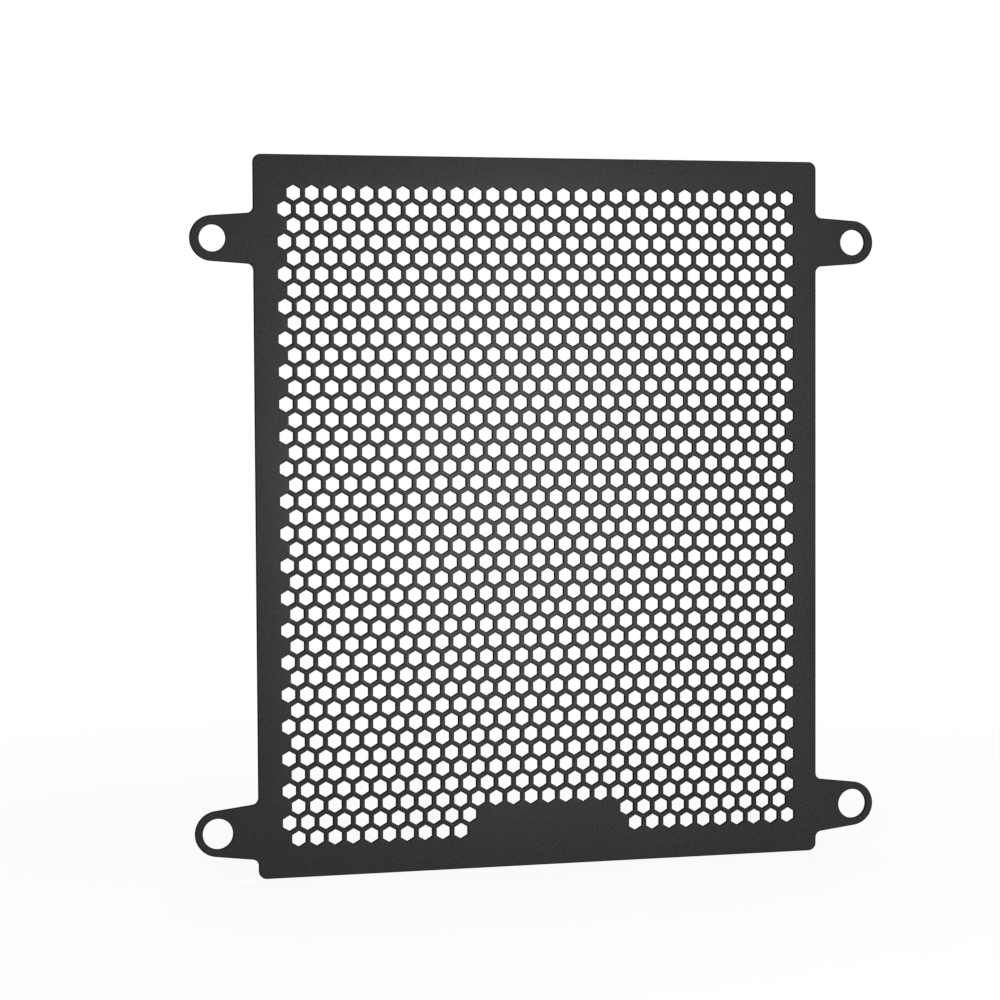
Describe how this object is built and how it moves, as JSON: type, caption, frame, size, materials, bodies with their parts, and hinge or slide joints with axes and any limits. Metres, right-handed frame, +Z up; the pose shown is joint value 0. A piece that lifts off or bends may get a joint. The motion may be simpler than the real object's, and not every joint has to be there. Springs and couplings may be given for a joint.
{
  "type": "motorcycle radiator guard",
  "caption": "Flat radiator guard for a motorcycle: a black powder-coated sheet with a honeycomb of openings, a plain patch at its foot and a bolt ear near each corner.",
  "frame": {"origin": "midway between the two upper bolt holes, on the back face that seats against the radiator", "axes": "+X across the guard, +Y back towards the radiator, +Z up; the front face looks towards -Y"},
  "size_m": [0.2712, 0.0015, 0.2714],
  "materials": {
    "black_powder_coat": "matte"
  },
  "bodies": {
    "root": {"guard_sheet": "black_powder_coat"}
  },
  "joints": []
}
